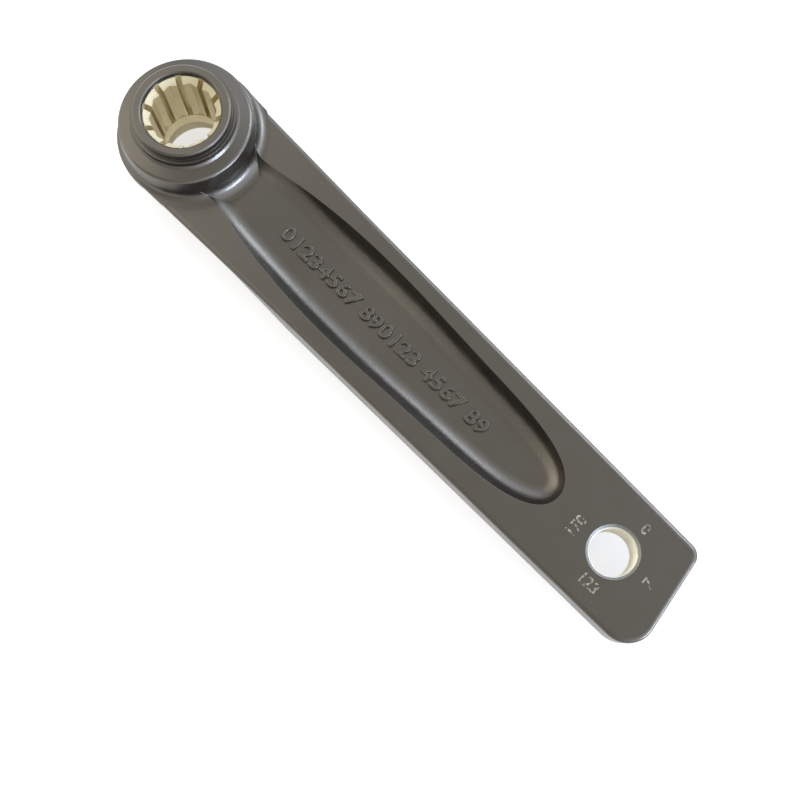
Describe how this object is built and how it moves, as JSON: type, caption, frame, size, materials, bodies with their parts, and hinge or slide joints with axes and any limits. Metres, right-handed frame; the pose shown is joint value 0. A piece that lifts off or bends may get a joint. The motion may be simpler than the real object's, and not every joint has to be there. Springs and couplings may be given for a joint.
{
  "type": "bicycle crank arm",
  "caption": "Forged aluminium bicycle crank arm in satin black, with a toothed spindle bore in a collared boss, a long relief channel and a threaded pedal eye.",
  "frame": {"origin": "on the spindle axis, at the seat of the crank bolt, where the spline meets the extractor thread", "axes": "+X along the arm to the pedal axis, +Z along the spindle axis towards the bicycle's frame, the side with the collar and the channel"},
  "size_m": [0.213, 0.0426, 0.0337],
  "materials": {
    "anodised": "satin black anodised, bores bare machined"
  },
  "bodies": {
    "root": {"crank_arm": "anodised"}
  },
  "joints": []
}
